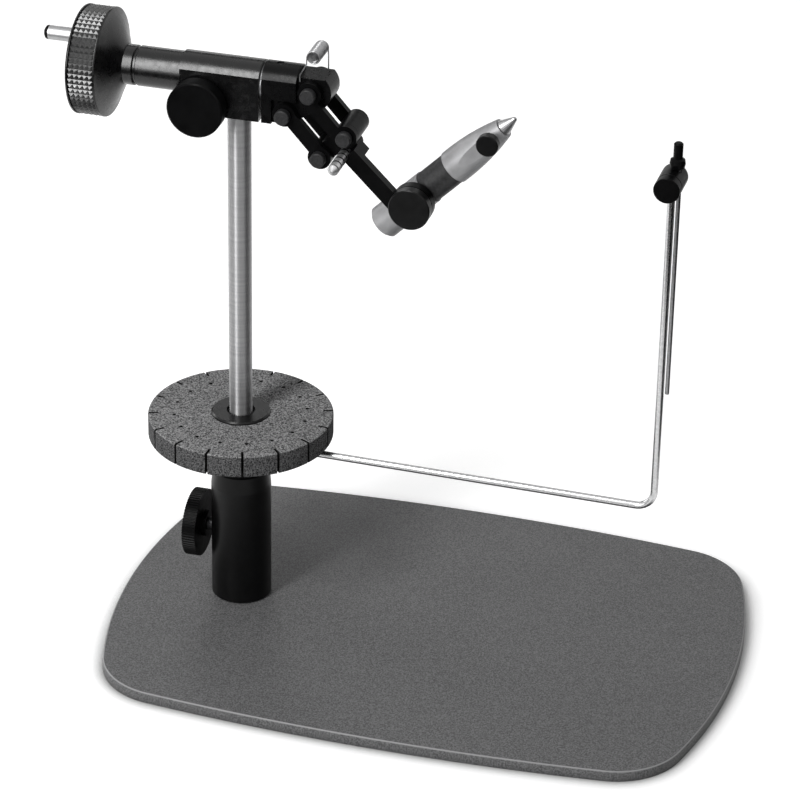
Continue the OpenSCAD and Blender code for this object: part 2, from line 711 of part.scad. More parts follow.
// Steel wire of the clip: a leg, the close coil and the other leg, as one tube
function curl_point(i) = [clip_x - coil_r * cos(i * 360 / curl_rings),
  -coil_half_l + clip_pitch * i / curl_rings, clip_rise + coil_r * sin(i * 360 / curl_rings)];
coil_points = [for (i = [0 : curl_rings * (clip_curls + 1 / 2)]) curl_point(i)];
foot_y = -tongue_half_w - clip_wire_r - leg_gap;
front_leg = [[foot_x, -tongue_half_w - leg_gap / 4, foot_rise - clip_wire_r],
  [foot_x, foot_y, foot_rise], [foot_x + leg_gap, foot_y, foot_rise + clip_r],
  [clip_x - coil_r - leg_gap, foot_y, clip_rise - clip_r]];
last_point = coil_points[len(coil_points) - 1];
rear_leg = [[rear_foot_x, (last_point[1] + rear_foot_y) / 2, clip_rise - clip_r],
  [rear_foot_x, rear_foot_y, tongue_top + clip_r], [rear_foot_x, rear_foot_y, tongue_top]];
clip_path = concat(front_leg, coil_points, rear_leg);
function unit(v) = v / norm(v);
function path_way(p, i) = unit(p[min(i + 1, len(p) - 1)] - p[max(i - 1, 0)]);
function wire_ring(p, i, r) =
  let (t = path_way(p, i), a = unit(cross(t, [0, 1, 0])), b = cross(t, a))
  [for (k = [0 : wire_sides - 1]) p[i] + r * (cos(k * 360 / wire_sides) * a
    + sin(k * 360 / wire_sides) * b)];
coil_gap = min([for (i = [0 : len(coil_points) - curl_rings - 1])
  for (j = [i + curl_rings / 2 : len(coil_points) - 1])
    norm(coil_points[i] - coil_points[j])]) - 2 * clip_wire_r;
echo(least_gap_in_the_coil = coil_gap);

module material_clip() color("silver") at_head()
  rings_solid([for (i = [0 : len(clip_path) - 1]) wire_ring(clip_path, i, clip_wire_r)]);

module drag_knob() color([0.1, 0.1, 0.1]) at_head() translate([drag_x, 0, -drag_drop]) difference() {
  y_turn(bar(drag_r, -head_half_w - drag_stand - drag_t, -head_half_w - drag_stand, edge));
  y_rod(2 * edge - head_half_w - drag_stand - drag_t, 0, drag_screw_r + fix_gap);
}

module drag_screw() color("silver") at_head() translate([drag_x, 0, -drag_drop])
  y_turn(bar(drag_screw_r, 2 * edge + fix_gap - head_half_w - drag_stand - drag_t,
    head_half_w - 2 * edge - end_gap, edge / 2));

// A link plate along its pins' line
module link_plate(low, high, y0, y1) difference() {
  union() {
    y_rod(y0, y1, link_boss_r);
    translate([link_l, 0, 0]) y_rod(y0, y1, link_boss_r);
    translate([0, y0, low]) cube([link_l, y1 - y0, high - low]);
  }
  y_rod(y0 - eps, y1 + eps, pin_r + run_gap);
  translate([link_l, 0, 0]) y_rod(y0 - eps, y1 + eps, pin_r + run_gap);
}

module upper_link_front() color([0.12, 0.12, 0.12]) at_link(pin_a)
  link_plate(upper_link_low, upper_link_high, -link_y1, -link_y0);
module upper_link_rear() color([0.12, 0.12, 0.12]) at_link(pin_a)
  link_plate(upper_link_low, upper_link_high, link_y0, link_y1);
module lower_link_front() color([0.12, 0.12, 0.12]) at_link(pin_b)
  link_plate(lower_link_low, lower_link_high, -link_y1, -link_y0);
module lower_link_rear() color([0.12, 0.12, 0.12]) at_link(pin_b)
  link_plate(lower_link_low, lower_link_high, link_y0, link_y1);

module headed_pin() {
  y_turn(bar(pin_head_r, -head_y1, -head_y0, pin_chamfer));
  y_rod(-head_y0 - eps, clip_y1 + edge, pin_r);
}

module pin_clip() difference() {
  y_rod(head_y0, clip_y1, pin_head_r);
  y_rod(head_y0 - eps, clip_y1 + eps, pin_r + fix_gap);
}

module rotor_link_pins() color([0.2, 0.2, 0.2]) for (p = [pin_a, pin_b]) at_pin(p) headed_pin();
module arm_link_pins() color([0.2, 0.2, 0.2]) for (p = [pin_c, pin_d]) at_pin(p) headed_pin();
module rotor_pin_clips() color("silver") for (p = [pin_a, pin_b]) at_pin(p) pin_clip();
module arm_pin_clips() color("silver") for (p = [pin_c, pin_d]) at_pin(p) pin_clip();

// The arm: a fork end between the links, a slim bar and the pivot eye
module jaw_arm() color([0.1, 0.1, 0.1]) difference() {
  union() {
    for (p = [pin_c, pin_d]) at_pin(p) y_rod(-tongue_half_w, tongue_half_w, link_boss_r);
    at_pin(lock_pin) y_rod(-tongue_half_w, tongue_half_w, lock_boss_r);
    at_head() y_plate(-tongue_half_w, tongue_half_w) polygon([
      pin_c + coupler_half_w * step_side, pin_d + coupler_half_w * step_side,
      pin_d - coupler_half_w * step_side, pin_c - coupler_half_w * step_side]);
    at_arm() translate([-arm_l - root_reach, -tongue_half_w, -arm_offset - arm_w / 2])
      cube([arm_root_l + root_reach, arm_root_t, arm_w]);
    at_arm() translate([-arm_l, -arm_front, -arm_offset - arm_w / 2])
      cube([arm_root_l, arm_front - tongue_half_w + arm_root_t, arm_w]);
    at_arm() translate([-arm_l, -arm_front, -arm_offset - arm_w / 2])
      cube([arm_l, arm_t, arm_w]);
    at_arm() y_rod(-arm_front, -arm_back, eye_r);
  }
  for (p = [pin_c, pin_d]) at_pin(p) y_rod(-arm_front - eps, tongue_half_w + eps, pin_r + fix_gap);
  at_pin(lock_pin) y_rod(-arm_front - eps, lock_inner_y + end_gap, lock_r + run_gap);
  at_arm() y_rod(-arm_front - eps, -arm_back + eps, stud_r + run_gap);
}

module lock_screw() color("silver") at_pin(lock_pin) difference() {
  y_turn([[0, -lock_front], [edge, -lock_front], [lock_r, lock_tip_l - lock_front],
    [lock_r, lock_inner_y], [0, lock_inner_y]]);
  for (i = [0 : lock_grooves - 1]) translate([0, lock_groove_y + i * lock_groove_pitch, 0])
    difference() {
      y_rod(0, lock_groove_w, lock_r + eps);
      y_rod(-eps, lock_groove_w + eps, lock_r - lock_groove_depth);
    }
}

module pivot_knob() color([0.1, 0.1, 0.1]) at_pin(pivot) difference() {
  y_turn(bar(pivot_knob_r, -knob_y1, -knob_y0, pin_chamfer));
  y_rod(-knob_y0 - stud_in_knob - end_gap, 0, stud_r + run_gap);
}

module pivot_stud() color("silver") at_pin(pivot) {
  y_rod(face_gap - arm_back, face_gap + stud_flange_t - arm_back, stud_flange_r);
  y_rod(-knob_y0 - stud_in_knob, stud_flange_t - arm_back, stud_r);
}

module jaw_tube() color("silver") at_jaw() difference() {
  x_turn([[0, 0], [jaw_r - 2 * edge, 0], [jaw_r, 2 * edge], [jaw_r, sleeve_s], [sleeve_r0, sleeve_s],
    [sleeve_r0, nose_s], [0, nose_s]]);
  x_rod(-eps, button_room_s, button_r + run_gap);
  x_rod(0, nose_s + eps, rod_bore_r);
  translate([jaw_pivot_s, 0, 0]) y_rod(-jaw_r - eps, face_gap + stud_flange_t - arm_back,
    stud_flange_r + fix_gap);
}

module grip_sleeve() color([0.12, 0.12, 0.12]) at_jaw() difference() {
  x_rod(sleeve_s, nose_s, sleeve_r);
  x_rod(sleeve_s - eps, nose_s + eps, sleeve_r0 + fix_gap);
}

// Radius of the nose along the jaw: straight, then falling along an arc
nose_arc_l = nose_end_s - nose_s - nose_straight;
nose_arc_r = (pow(nose_arc_l, 2) + pow(nose_r - nose_end_r, 2)) / (2 * (nose_r - nose_end_r));
function nose_radius(s) = nose_r - nose_arc_r + sqrt(pow(nose_arc_r, 2)
  - pow(max(0, s - nose_s - nose_straight), 2));

module nose() color("silver") at_jaw() difference() {
  x_turn(concat([[0, nose_s], [nose_r - edge / 2, nose_s], [nose_r, nose_s + edge / 2]],
    [for (i = [0 : nose_steps]) let (s = nose_s + nose_straight + nose_arc_l * i / nose_steps)
      [nose_radius(s), s]], [[0, nose_end_s]]));
  x_rod(nose_s - eps, nose_end_s, rod_bore_r);
  x_rod(shank_room_s, nose_end_s + eps, shank_room_r);
  translate([nose_flat_s, -nose_r, -nose_r]) rotate([0, 0, nose_flat_tilt])
    translate([-eps, -nose_r, 0]) cube([nose_flat_l + eps, nose_r, 2 * nose_r]);
  translate([front_knob_s, 0, 0]) y_rod(-2 * nose_r, 0, screw_r + run_gap);
}

module push_button() color("dimgray") at_jaw() x_turn([[0, edge / 2], [button_r - edge, edge / 2],
  [button_r, 3 * edge / 2], [button_r, button_l], [0, button_l]]);

module return_spring() color("silver") at_jaw() difference() {
  x_rod(button_l, button_l + spring_l, spring_r);
  x_rod(button_l - eps, button_l + spring_l + eps, button_stem_r + rod_gap);
}

module push_rod() color("silver") at_jaw() x_turn([[0, button_l], [button_stem_r, button_l],
  [button_stem_r, push_rod_end_s - edge], [button_stem_r - edge, push_rod_end_s], [0, push_rod_end_s]]);

// One half of the split jaw, over the plane of the split
module jaw_half() difference() {
  x_turn([[0, jaw_hinge_s], [shank_r, jaw_hinge_s], [shank_r, jaw_base_s], [tip_base_r, jaw_base_s],
    [tip_r, tip_s - tip_round / 2], [tip_r / 2, tip_s], [0, tip_s]]);
  translate([0, -2 * nose_r, -4 * nose_r + jaw_split]) cube([2 * tip_s, 4 * nose_r, 4 * nose_r]);
}

module upper_jaw() color("lightgray") at_jaw() jaw_half();
module lower_jaw() color("lightgray") at_jaw() mirror([0, 0, 1]) jaw_half();

module front_knob() color([0.1, 0.1, 0.1]) at_jaw() translate([front_knob_s, 0, 0]) {
  y_turn(bar(front_knob_r, -front_knob_y0 - front_knob_t, -front_knob_y0, pin_chamfer));
  y_rod(-front_knob_y0 - eps, -front_stem_y, screw_r);
}

module foam_disc() color([0.25, 0.25, 0.25]) difference() {
  z_turn([[0, foam_z], [foam_r - edge, foam_z], [foam_r, foam_z + edge], [foam_r, foam_top_z - edge],
    [foam_r - edge, foam_top_z], [0, foam_top_z]]);
  z_rod(foam_z - eps, foam_top_z + eps, hub_sleeve_r + fix_gap);
  for (i = [0 : foam_slits - 1]) rotate([0, 0, (i + slit_turn_share) * slit_angle])
    translate([foam_r - slit_depth, -slit_w / 2, foam_z - eps])
      cube([2 * slit_depth, slit_w, foam_t + 2 * eps]);
}

module foam_hub() color([0.1, 0.1, 0.1]) difference() {
  z_turn([[0, foam_z - soft_gap], [hub_sleeve_r, foam_z - soft_gap], [hub_sleeve_r, foam_top_z],
    [hub_flange_r, foam_top_z], [hub_flange_r, foam_top_z + hub_flange_t / 2],
    [hub_flange_r - edge, foam_top_z + hub_flange_t], [0, foam_top_z + hub_flange_t]]);
  z_rod(foam_z - soft_gap - eps, foam_top_z + hub_flange_t + eps, post_r + run_gap);
  z_rod(foam_top_z + hub_flange_t - mouth_depth, foam_top_z + hub_flange_t + eps, hub_mouth_r);
}

module arm_collar() color([0.1, 0.1, 0.1]) at_cradle() difference() {
  z_turn(bar(collar_r, collar_top_z - collar_t, collar_top_z, edge));
  z_rod(collar_top_z - collar_t - eps, collar_top_z + eps, post_r + run_gap);
  translate([0, 0, rod_z]) x_rod(rod_root, collar_r + eps, rod_r + fix_gap);
  translate([0, 0, rod_z]) x_rod(-collar_r - eps, 0, screw_r + fix_gap);
}

module collar_set_screw() color("dimgray") at_cradle() translate([0, 0, rod_z])
  x_rod(edge - collar_r, -post_r - run_gap, screw_r);

module cradle_rod() color("silver") at_cradle() {
  translate([0, 0, rod_z]) x_rod(rod_root, rod_reach - rod_bend_r, rod_r);
  translate([rod_reach - rod_bend_r, 0, rod_z + rod_bend_r]) rotate([90, 0, 0]) rotate([0, 0, -90])
    rotate_extrude(angle = 90) translate([rod_bend_r, 0]) circle(r = rod_r);
  translate([rod_reach, 0, 0]) z_rod(rod_z + rod_bend_r, rest_z + rod_r, rod_r);
}

module rest_clamp() color([0.1, 0.1, 0.1]) at_rest() difference() {
  translate([0, 0, rest_z]) y_turn(bar(rest_r, -rest_block_y0, rest_block_y1, edge / 2));
  z_rod(rest_z - 2 * rest_r, rest_z + rod_r + end_gap, rod_r + fix_gap);
  translate([wire_dx, 0, 0]) z_rod(rest_z - 2 * rest_r, rest_z + 2 * rest_r, wire_r + run_gap);
  translate([0, 0, rest_z]) y_rod(-2 * rest_r, 0, screw_r + run_gap);
}

module rest_knob() color([0.1, 0.1, 0.1]) at_rest() translate([0, 0, rest_z]) {
  y_turn(bar(rest_r, -rest_block_y0 - face_gap - rest_knob_t, -rest_block_y0 - face_gap, edge / 2));
  y_rod(-rest_block_y0 - eps, -rod_r - face_gap, screw_r);
}

module extension_wire() color("gray") at_rest() translate([wire_dx, 0, 0])
  z_rod(plate_t + wire_foot_h, ball_z0 + ball_h - edge, wire_r);

module rest_pin() color([0.1, 0.1, 0.1]) at_rest() difference() {
  translate([ball_dx, 0, 0]) z_turn([[0, ball_z0], [rest_ball_r - 2 * edge, ball_z0],
    [rest_ball_r - edge / 2, ball_z0 + edge], [rest_ball_r, ball_z0 + ball_h / 2],
    [rest_ball_r - edge / 2, ball_z0 + ball_h - edge], [rest_ball_r - 2 * edge, ball_z0 + ball_h],
    [rest_pin_r, ball_z0 + ball_h], [rest_pin_r, rest_top_z - edge], [rest_pin_r - edge, rest_top_z],
    [0, rest_top_z]]);
  translate([wire_dx, 0, 0]) z_rod(ball_z0 - eps, ball_z0 + ball_h - edge, wire_r + fix_gap);
}

base_plate();
column();
column_screws();
clamp_knob();
clamp_screw();
clamp_pad();
post();
housing();
post_set_screw();
rear_bush();
front_bush();
shaft();
crank_wheel();
wheel_collar();
wheel_screw();
crank_pin();
crank_sleeve();
rear_washer();
front_washer();
rotor_block();
block_set_screw();
material_clip();
drag_knob();
drag_screw();
rotor_link_pins();
arm_link_pins();
rotor_pin_clips();
arm_pin_clips();
upper_link_front();
upper_link_rear();
lower_link_front();
lower_link_rear();
jaw_arm();
lock_screw();
pivot_knob();
pivot_stud();
jaw_tube();
grip_sleeve();
nose();
push_button();
return_spring();
push_rod();
upper_jaw();
lower_jaw();
front_knob();
foam_disc();
foam_hub();
arm_collar();
collar_set_screw();
cradle_rod();
rest_clamp();
rest_knob();
extension_wire();
rest_pin();
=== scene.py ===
import math
import bmesh
import bpy
from mathutils import Euler, Matrix, Vector


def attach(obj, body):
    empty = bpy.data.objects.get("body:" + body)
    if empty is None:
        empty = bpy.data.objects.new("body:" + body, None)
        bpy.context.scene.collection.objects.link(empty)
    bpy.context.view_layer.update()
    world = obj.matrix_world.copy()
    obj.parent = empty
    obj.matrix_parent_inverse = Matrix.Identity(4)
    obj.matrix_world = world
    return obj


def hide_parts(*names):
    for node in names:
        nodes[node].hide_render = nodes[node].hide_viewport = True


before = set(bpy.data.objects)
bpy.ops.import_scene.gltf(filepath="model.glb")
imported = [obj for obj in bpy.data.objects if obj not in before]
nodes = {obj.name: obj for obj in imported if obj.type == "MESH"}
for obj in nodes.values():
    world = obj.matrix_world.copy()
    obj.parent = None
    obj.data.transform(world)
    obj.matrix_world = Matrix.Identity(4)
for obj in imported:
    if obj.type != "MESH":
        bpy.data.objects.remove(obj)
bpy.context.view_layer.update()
mm = 0.001

# Base plate: one slab of steel with bowed sides and wide corners, coated with
# a fine-grained dark grey powder. Its top edge is rounded over, with a painted
# highlight along it.
plate_l, plate_w, plate_t, plate_mid = 275 * mm, 196 * mm, 5 * mm, 86.5 * mm
plate_corner, side_bulge, end_bulge = 32 * mm, 5 * mm, 9 * mm
plate_round, foot_round, foot_steps, round_steps, outline_steps = 0.9 * mm, 0.4 * mm, 3, 6, 28
powder_dark, powder_light = (0.055, 0.055, 0.056), (0.145, 0.145, 0.147)
# Colour of the highlight painted along the rounded top edge; the last line sets how far down that
# painted highlight reaches.
powder_rim_highlight = (0.24, 0.24, 0.242)
powder_grain, powder_cloud, powder_relief = 0.6 * mm, 30 * mm, 0.05 * mm
rim_highlight_from, rim_highlight_full, rim_highlight_end = 0.7, 0.25, 0.04


def new_finish(name, colour, roughness, metal=0.0, gloss=0.5):
    """A new material, with its nodes and the place on the object that grain follows."""
    finish = bpy.data.materials.new(name)
    finish.use_nodes = True
    tree = finish.node_tree
    shader = tree.nodes["Principled BSDF"]
    shader.inputs["Base Color"].default_value = (*colour, 1)
    shader.inputs["Roughness"].default_value = roughness
    shader.inputs["Metallic"].default_value = metal
    shader.inputs["Specular IOR Level"].default_value = gloss
    place = tree.nodes.new("ShaderNodeTexCoord").outputs["Object"]
    return finish, tree, shader, place


def grain(tree, place, size, detail=3, stretch=(1, 1, 1)):
    """Noise of that size, drawn out along an axis where its stretch is below 1."""
    spread = tree.nodes.new("ShaderNodeMapping")
    spread.inputs["Scale"].default_value = [s / size for s in stretch]
    noise = tree.nodes.new("ShaderNodeTexNoise")
    noise.inputs["Scale"].default_value = 1
    noise.inputs["Detail"].default_value = detail
    tree.links.new(place, spread.inputs["Vector"])
    tree.links.new(spread.outputs["Vector"], noise.inputs["Vector"])
    return noise.outputs["Fac"]


def tint(tree, shader, amount, dark, light, low=0.3, high=0.7):
    """Colours the finish from dark to light as the amount goes from low to high."""
    ramp = tree.nodes.new("ShaderNodeValToRGB")
    ramp.color_ramp.elements[0].position = low
    ramp.color_ramp.elements[0].color = (*dark, 1)
    ramp.color_ramp.elements[1].position = high
    ramp.color_ramp.elements[1].color = (*light, 1)
    tree.links.new(amount, ramp.inputs["Fac"])
    tree.links.new(ramp.outputs["Color"], shader.inputs["Base Color"])


def vary_roughness(tree, shader, amount, low, high):
    """Makes the finish smoother and rougher as the amount varies."""
    span = tree.nodes.new("ShaderNodeMapRange")
    span.inputs["From Min"].default_value = 0.3
    span.inputs["From Max"].default_value = 0.7
    span.inputs["To Min"].default_value = low
    span.inputs["To Max"].default_value = high
    tree.links.new(amount, span.inputs["Value"])
    tree.links.new(span.outputs["Result"], shader.inputs["Roughness"])


def bump(tree, shader, amount, depth, strength=1.0):
    """Gives the finish a fine relief that follows the amount."""
    relief = tree.nodes.new("ShaderNodeBump")
    relief.inputs["Distance"].default_value = depth
    relief.inputs["Strength"].default_value = strength
    tree.links.new(amount, relief.inputs["Height"])
    tree.links.new(relief.outputs["Normal"], shader.inputs["Normal"])


def worked(tree, kind, a, b, clamp=False):
    """The result of one sum on two values, each a number or another node's output."""
    node = tree.nodes.new("ShaderNodeMath")
    node.operation = kind
    node.use_clamp = clamp
    for socket, value in zip(node.inputs, (a, b)):
        if hasattr(value, "is_linked"):
            tree.links.new(value, socket)
        else:
            socket.default_value = value
    return node.outputs[0]


def along(tree, place, axis):
    """How far a point lies along one of the object's own axes."""
    parts = tree.nodes.new("ShaderNodeSeparateXYZ")
    tree.links.new(place, parts.inputs["Vector"])
    return parts.outputs[axis]


def lay_over(tree, shader, share, colour):
    """Lays a second colour over the finish's own, as much as the share says."""
    own = shader.inputs["Base Color"].links[0].from_socket
    mix = tree.nodes.new("ShaderNodeMix")
    mix.data_type = "RGBA"
    mix.inputs["B"].default_value = (*colour, 1)
    tree.links.new(share, mix.inputs["Factor"])
    tree.links.new(own, mix.inputs["A"])
    tree.links.new(mix.outputs["Result"], shader.inputs["Base Color"])


def plate_outline(inset):
    """The plate's outer line: four bowed sides joined by four corner arcs."""
    a, b = plate_l / 2 - plate_corner - end_bulge, plate_w / 2 - plate_corner - side_bulge
    side_r = (a * a + side_bulge ** 2) / (2 * side_bulge)
    end_r = (b * b + end_bulge ** 2) / (2 * end_bulge)
    side_c, end_c = plate_w / 2 - plate_corner - side_r, plate_l / 2 - plate_corner - end_r
    side_a, end_a = math.asin(a / side_r), math.asin(b / end_r)
    quarter, turn = math.pi / 2, math.pi
    arcs = [
        (end_c, 0, end_r, -end_a, end_a), (a, b, 0, end_a, quarter - side_a),
        (0, side_c, side_r, quarter - side_a, quarter + side_a),
        (-a, b, 0, quarter + side_a, turn - end_a), (-end_c, 0, end_r, turn - end_a, turn + end_a),
        (-a, -b, 0, turn + end_a, 3 * quarter - side_a),
        (0, -side_c, side_r, 3 * quarter - side_a, 3 * quarter + side_a),
        (a, -b, 0, 3 * quarter + side_a, 4 * quarter - end_a)]
    points = []
    for x, y, r, start, end in arcs:
        for i in range(outline_steps):
            angle = start + (end - start) * i / outline_steps
            reach = r + plate_corner - inset
            points.append((plate_mid + x + reach * math.cos(angle), y + reach * math.sin(angle)))
    return points


def plate_mesh():
    """The plate's outline, stacked in rings from the softened foot to the rounded top."""
    rings = []
    for k in range(foot_steps + 1):
        turn = k * math.pi / 2 / foot_steps
        rings.append((foot_round * (1 - math.sin(turn)), foot_round * (1 - math.cos(turn))))
    for k in range(round_steps + 1):
        turn = k * math.pi / 2 / round_steps
        rings.append((plate_round * (1 - math.cos(turn)),
                      plate_t - plate_round + plate_round * math.sin(turn)))
    shape = bmesh.new()
    loops = [[shape.verts.new((x, y, z)) for x, y in plate_outline(inset)] for inset, z in rings]
    count = len(loops[0])
    for low, high in zip(loops, loops[1:]):
        for i in range(count):
            shape.faces.new((low[i], low[(i + 1) % count], high[(i + 1) % count], high[i]))
    shape.faces.new(list(reversed(loops[0])))
    shape.faces.new(loops[-1])
    return shape


def as_object(shape, name, finish, sharp=0.6):
    """Puts a shape into the scene, smooth but for edges that turn more than sharp."""
    mesh = bpy.data.meshes.new(name)
    bmesh.ops.recalc_face_normals(shape, faces=shape.faces)
    shape.to_mesh(mesh)
    shape.free()
    mesh.shade_smooth()
    mesh.set_sharp_from_angle(angle=sharp)
    mesh.materials.append(finish)
    piece = bpy.data.objects.new(name, mesh)
    bpy.context.scene.collection.objects.link(piece)
    return piece


powder_coat, tree, shader, place = new_finish("powder_coat", powder_light, 0.5, gloss=0.3)
speck = grain(tree, place, powder_grain, 4)
tint(tree, shader, speck, powder_dark, powder_light, 0.38, 0.62)
vary_roughness(tree, shader, grain(tree, place, powder_cloud, 2), 0.46, 0.54)
bump(tree, shader, speck, powder_relief, 0.6)
# A lighter band is painted along the rounded top edge, just below the flat top: a painted
# highlight.
height = along(tree, place, "Z")
rim_highlight_band = tree.nodes.new("ShaderNodeMapRange")
rim_highlight_band.interpolation_type = "SMOOTHSTEP"
rim_highlight_band.inputs["From Min"].default_value = plate_t - rim_highlight_from * plate_round
rim_highlight_band.inputs["From Max"].default_value = plate_t - rim_highlight_full * plate_round
tree.links.new(height, rim_highlight_band.inputs["Value"])
below_top = worked(tree, "LESS_THAN", height, plate_t - rim_highlight_end * plate_round)
lay_over(tree, shader, worked(tree, "MULTIPLY", rim_highlight_band.outputs["Result"], below_top), powder_rim_highlight)

plate = as_object(plate_mesh(), "coated_plate", powder_coat)
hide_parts("base_plate")
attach(plate, "stand")

# Column: a turned tube, finished satin black, screwed down through the plate
# from below with three countersunk screws of blackened steel.
black, black_worn = (0.0014, 0.0014, 0.0015), (0.0028, 0.0028, 0.003)
black_grain, black_cloud, black_patch = 0.16 * mm, 9 * mm, 2.5 * mm
black_line, line_share, black_relief = 0.12 * mm, 0.03, 0.012 * mm


def dress(finish, *names):
    """Gives carried-over pieces their finish."""
    for name in names:
        nodes[name].data.materials.clear()
        nodes[name].data.materials.append(finish)


def black_finish(name, roughness, gloss, turned_along=None):
    """Black anodising or lacquer, with fine lines round the axis where it is turned."""
    finish, tree, shader, place = new_finish(name, black, roughness, gloss=gloss)
    tint(tree, shader, grain(tree, place, black_cloud, 3), black, black_worn)
    vary_roughness(tree, shader, grain(tree, place, black_patch, 2),
                   roughness - 0.04, roughness + 0.05)
    if turned_along is None:
        fine = grain(tree, place, black_grain, 3)
    else:
        stretch = [line_share, line_share, line_share]
        stretch[turned_along] = 1
        fine = grain(tree, place, black_line, 2, stretch)
    bump(tree, shader, fine, black_relief, 0.4)
    return finish


satin_black = black_finish("satin_black", 0.33, 0.06)
column_black = black_finish("column_black", 0.34, 0.15, turned_along=2)
blackened, tree, shader, place = new_finish("blackened_steel", (0.03, 0.03, 0.032), 0.42, metal=0.7)
tint(tree, shader, grain(tree, place, 1.2 * mm), (0.018, 0.018, 0.02), (0.05, 0.05, 0.052))
bump(tree, shader, grain(tree, place, 0.3 * mm), 0.02 * mm, 0.5)
dress(column_black, "column")
dress(blackened, "column_screws", "post_set_screw", "wheel_screw", "block_set_screw",
      "collar_set_screw")

# Column clamp: a serrated black knob on a steel screw, which presses a brass
# pad against the post.
steel_line, steel_patch, steel_line_share, steel_relief = 0.18 * mm, 1.5 * mm, 0.04, 0.01 * mm


def steel_finish(name, colour, roughness, turned_along=None, depth=steel_relief):
    """Bare steel, with fine tool marks round the axis that it was turned on."""
    finish, tree, shader, place = new_finish(name, colour, roughness, metal=1.0)
    stretch = [1, 1, 1]
    if turned_along is not None:
        stretch = [steel_line_share, steel_line_share, steel_line_share]
        stretch[turned_along] = 1
    lines = grain(tree, place, steel_line, 3, stretch)
    duller = tuple(c * 0.8 for c in colour)
    tint(tree, shader, grain(tree, place, steel_patch, 3, stretch), duller, colour)
    vary_roughness(tree, shader, lines, roughness - 0.05, roughness + 0.07)
    bump(tree, shader, lines, depth, 0.5)
    return finish


turned_x = steel_finish("turned_steel_x", (0.62, 0.62, 0.625), 0.28, turned_along=0)
turned_y = steel_finish("turned_steel_y", (0.66, 0.66, 0.665), 0.3, turned_along=1)
brass, tree, shader, place = new_finish("turned_brass", (0.62, 0.45, 0.2), 0.34, metal=1.0)
tint(tree, shader, grain(tree, place, 1.4 * mm), (0.5, 0.36, 0.16), (0.66, 0.48, 0.22))
bump(tree, shader, grain(tree, place, 0.15 * mm, 2, (1, 0.05, 0.05)), 0.01 * mm, 0.4)
dress(satin_black, "clamp_knob")
dress(blackened, "clamp_screw")
dress(brass, "clamp_pad", "rear_bush", "front_bush")

# Post: a ground steel bar that carries the head and slides in the column. Fine
# grinding marks go round it, so that its highlight is drawn out along it.
polish_relief = 0.006 * mm
ground_steel = steel_finish("ground_steel", (0.36, 0.36, 0.365), 0.42, turned_along=2,
                            depth=polish_relief)
grinding = ground_steel.node_tree.nodes["Principled BSDF"].inputs
grinding["Anisotropic"].default_value = 0.9
grinding["Anisotropic Rotation"].default_value = 0.25
dress(ground_steel, "post")

# Tool disc: a slab of dense dark foam on a black flanged hub. Slits are cut
# into its rim and needle holes are pricked in a ring on its top.
foam_r, foam_low, foam_high, foam_round = 40.3 * mm, 85 * mm, 95.2 * mm, 0.9 * mm
hub_r, slit_deep, slit_wide, slit_high, slit_mid = 7.75 * mm, 4.5 * mm, 1.1 * mm, 14 * mm, 90 * mm
prick_r, prick_ring, prick_deep, prick_sides = 0.85 * mm, 29 * mm, 3.5 * mm, 10
foam_cuts, slit_phase, foam_steps, crease = 16, 0.83, 192, 0.6
foam_grain, foam_relief, pit_grain = 0.62 * mm, 0.4 * mm, 0.7 * mm


def turned_shape(profile, steps, axis="Z", centre=(0, 0, 0)):
    """Spins (radius, place) points round the axis; a radius of 0 closes the end."""
    shape = bmesh.new()
    loops = []
    for r, s in profile:
        ring = []
        for i in range(steps if r > 0 else 1):
            angle = 2 * math.pi * i / steps
            u, v = r * math.cos(angle), r * math.sin(angle)
            spot = {"Z": (u, v, s), "X": (s, u, v)}[axis]
            ring.append(shape.verts.new(Vector(centre) + Vector(spot)))
        loops.append(ring)
    for low, high in zip(loops, loops[1:]):
        for i in range(steps):
            a, b = low[i % len(low)], low[(i + 1) % len(low)]
            c, d = high[(i + 1) % len(high)], high[i % len(high)]
            corners = list(dict.fromkeys((a, b, c, d)))
            if len(corners) > 2:
                shape.faces.new(corners)
    return shape


def rounded(r, s, radius, start, steps=6):
    """Points of a quarter round of that radius; start is the angle of its first point."""
    return [(r + radius * math.cos(start + k * math.pi / 2 / steps),
             s + radius * math.sin(start + k * math.pi / 2 / steps)) for k in range(steps + 1)]


def made_plain(piece, modifier):
    """Turns what the modifier makes into the piece's own mesh."""
    bpy.context.view_layer.update()
    ready = piece.evaluated_get(bpy.context.evaluated_depsgraph_get())
    mesh = bpy.data.meshes.new_from_object(ready)
    piece.modifiers.remove(modifier)
    old, piece.data = piece.data, mesh
    bpy.data.meshes.remove(old)


def cut(piece, cutter):
    """Takes the cutter's shape out of the piece."""
    knife = piece.modifiers.new("cut", "BOOLEAN")
    knife.object = cutter
    knife.solver = "EXACT"
    knife.material_mode = "TRANSFER"
    made_plain(piece, knife)
    bpy.data.objects.remove(cutter)


foam, tree, shader, place = new_finish("grained_foam", (0.12, 0.12, 0.12), 0.93, gloss=0.15)
pores = grain(tree, place, foam_grain, 5)
tint(tree, shader, pores, (0.02, 0.02, 0.021), (0.34, 0.34, 0.342), 0.36, 0.66)
bump(tree, shader, pores, foam_relief, 0.8)
# A darker copy of the foam for the disc's sides: painted shade, as the sides get less of the light
# than the top.
foam_side_shade, tree, shader, place = new_finish("foam_side_shade", (0.05, 0.05, 0.05), 0.93, gloss=0.1)
pores = grain(tree, place, foam_grain, 5)
tint(tree, shader, pores, (0.01, 0.01, 0.0105), (0.14, 0.14, 0.142), 0.36, 0.68)
bump(tree, shader, pores, foam_relief, 0.8)
# Near-black finish for the walls of the slits and needle holes: painted shade in these hollows.
foam_pit_shade, tree, shader, place = new_finish("foam_hollow_shade", (0.01, 0.01, 0.01), 0.95, gloss=0.05)
tint(tree, shader, grain(tree, place, pit_grain, 4), (0.004, 0.004, 0.004), (0.02, 0.02, 0.02))

